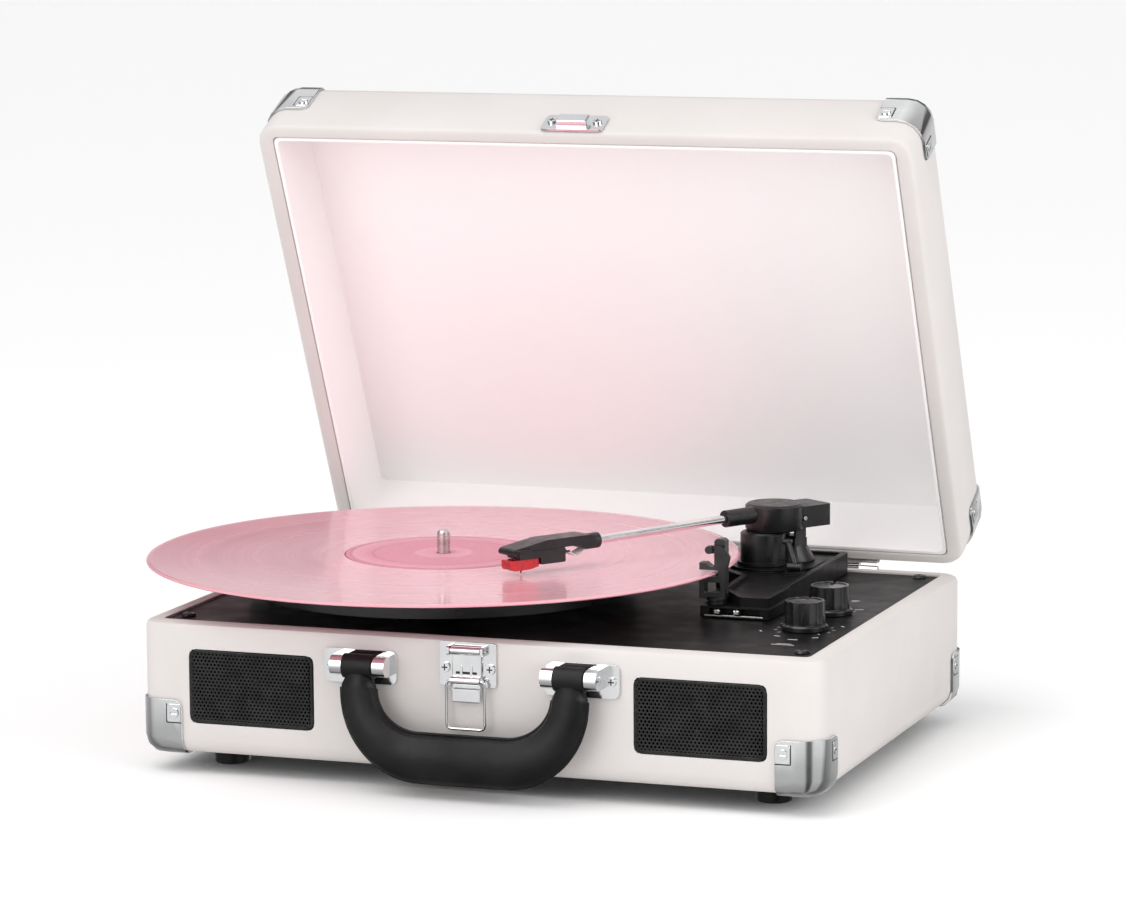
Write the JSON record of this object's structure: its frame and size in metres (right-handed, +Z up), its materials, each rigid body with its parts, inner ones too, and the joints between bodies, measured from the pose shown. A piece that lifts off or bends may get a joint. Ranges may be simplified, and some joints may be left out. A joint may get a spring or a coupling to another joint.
{
  "type": "suitcase record player",
  "caption": "Suitcase record player with an opened lid, carrying handle, latch, built-in speakers, belt-driven platter with a record and a tonearm playing it.",
  "frame": {"origin": "centre of the case's underside, on the bottom panel, above the four feet", "axes": "+X to the right, +Y to the back, +Z up; the latch and handle are on the -Y side"},
  "size_m": [0.3871, 0.3339, 0.3271],
  "materials": {
    "case_covering": "matt leatherette on board",
    "lid_lining_cloth": "matt cloth paper",
    "black_plastic": "satin",
    "gloss_black": "gloss",
    "deck_black": "satin",
    "chrome_plate": "polished",
    "bare_steel": "satin",
    "rubber": "matt",
    "handle_leather": "satin",
    "record_vinyl": "gloss",
    "mat_felt": "matt",
    "stylus_red": "gloss",
    "grille_steel": "satin",
    "speaker_cone": "matt",
    "board_green": "satin"
  },
  "bodies": {
    "case": {"case_shell": "case_covering", "bottom_panel": "black_plastic", "deck_plate": "deck_black", "speaker_grille_left": "grille_steel", "speaker_grille_right": "grille_steel", "speaker_left": "speaker_cone", "speaker_right": "speaker_cone", "foot_front_left": "rubber", "foot_front_right": "rubber", "foot_rear_left": "rubber", "foot_rear_right": "rubber", "case_corner_front_left": "chrome_plate", "case_corner_front_right": "chrome_plate", "case_corner_rear_left": "chrome_plate", "case_corner_rear_right": "chrome_plate", "latch_plate": "chrome_plate", "handle_mount_left": "chrome_plate", "handle_mount_right": "chrome_plate", "hinge_case_leaf_left": "chrome_plate", "hinge_case_leaf_right": "chrome_plate", "tonearm_plinth": "deck_black", "arm_rest": "black_plastic", "drive_motor": "bare_steel", "drive_belt": "rubber", "circuit_board": "board_green", "rear_jack_panel": "black_plastic", "deck_screw_front_left": "bare_steel", "deck_screw_front_right": "bare_steel", "deck_screw_rear_left": "bare_steel", "deck_screw_rear_right": "bare_steel"},
    "lid": {"lid_shell": "case_covering", "lid_lining": "lid_lining_cloth", "lid_corner_front_left": "chrome_plate", "lid_corner_front_right": "chrome_plate", "lid_corner_rear_left": "chrome_plate", "lid_corner_rear_right": "chrome_plate", "lid_catch": "chrome_plate", "hinge_lid_leaf_left": "chrome_plate", "hinge_lid_leaf_right": "chrome_plate"},
    "handle_body": {"carry_handle": "handle_leather"},
    "lever_body": {"latch_lever": "chrome_plate"},
    "bail_body": {"latch_bail": "chrome_plate"},
    "turntable": {"platter": "black_plastic", "slip_mat": "mat_felt", "record": "record_vinyl", "spindle": "bare_steel"},
    "pulley_body": {"motor_pulley": "bare_steel"},
    "turret_body": {"arm_turret": "black_plastic", "arm_pivot_pin": "bare_steel"},
    "arm_body": {"arm_housing": "black_plastic", "arm_tube": "chrome_plate", "headshell": "black_plastic", "cartridge": "black_plastic", "stylus": "stylus_red"},
    "cue_body": {"cue_lever": "black_plastic"},
    "clip_body": {"rest_clip": "black_plastic"},
    "volume_body": {"volume_knob": "gloss_black"},
    "mode_body": {"mode_knob": "gloss_black"},
    "speed_body": {"speed_switch": "black_plastic"},
    "auto_stop_body": {"auto_stop_switch": "black_plastic"}
  },
  "joints": [
    {"name": "lid_hinge", "type": "hinge", "parent": "case", "child": "lid", "pos_m": [0, 0.1312, 0.0642], "axis": [-1, 0, 0], "range_deg": [-11, 30]},
    {"name": "handle_swing", "type": "hinge", "parent": "case", "child": "handle_body", "pos_m": [0, -0.137, 0.052], "axis": [-1, 0, 0], "range_deg": [0, 110]},
    {"name": "latch_lever_swing", "type": "hinge", "parent": "case", "child": "lever_body", "pos_m": [-0.0012, -0.1315, 0.0615], "axis": [-1, 0, 0], "range_deg": [0, 75]},
    {"name": "latch_bail_swing", "type": "hinge", "parent": "lever_body", "child": "bail_body", "pos_m": [-0.0012, -0.1321, 0.047], "axis": [-1, 0, 0], "range_deg": [0, 100]},
    {"name": "platter_spin", "type": "hinge", "parent": "case", "child": "turntable", "pos_m": [-0.059, -0.012, 0.0853], "axis": [0, 0, 1], "continuous": true},
    {"name": "pulley_spin", "type": "hinge", "parent": "case", "child": "pulley_body", "pos_m": [-0.142, -0.043, 0.075], "axis": [0, 0, 1], "continuous": true},
    {"name": "arm_yaw", "type": "hinge", "parent": "case", "child": "turret_body", "pos_m": [0.0863, 0.0667, 0.0765], "axis": [0, 0, 1], "range_deg": [-7.5, 31]},
    {"name": "arm_lift", "type": "hinge", "parent": "turret_body", "child": "arm_body", "pos_m": [0.09692, 0.08246, 0.0992], "axis": [-0.8293, 0.5588, 0], "range_deg": [0, 8]},
    {"name": "cue_lever_swing", "type": "hinge", "parent": "case", "child": "cue_body", "pos_m": [0.109, 0.048, 0.0787], "axis": [1, 0, 0], "range_deg": [0, 40]},
    {"name": "rest_clip_swing", "type": "hinge", "parent": "case", "child": "clip_body", "pos_m": [0.0932, -0.028, 0.099], "axis": [0, 1, 0], "range_deg": [0, 80]},
    {"name": "volume_turn", "type": "hinge", "parent": "case", "child": "volume_body", "pos_m": [0.143, -0.046, 0.0697], "axis": [0, 0, 1], "range_deg": [-150, 150]},
    {"name": "mode_turn", "type": "hinge", "parent": "case", "child": "mode_body", "pos_m": [0.1423, -0.0013, 0.0697], "axis": [0, 0, 1], "range_deg": [-45, 45]},
    {"name": "speed_slide", "type": "slide", "parent": "case", "child": "speed_body", "axis": [1, 0, 0], "range_m": [-0.0015, 0.0035]},
    {"name": "auto_stop_slide", "type": "slide", "parent": "case", "child": "auto_stop_body", "axis": [1, 0, 0], "range_m": [0, 0.006]}
  ],
  "couplings": [
    {"joint": "pulley_spin", "follows": "platter_spin", "ratio": 17.333}
  ]
}
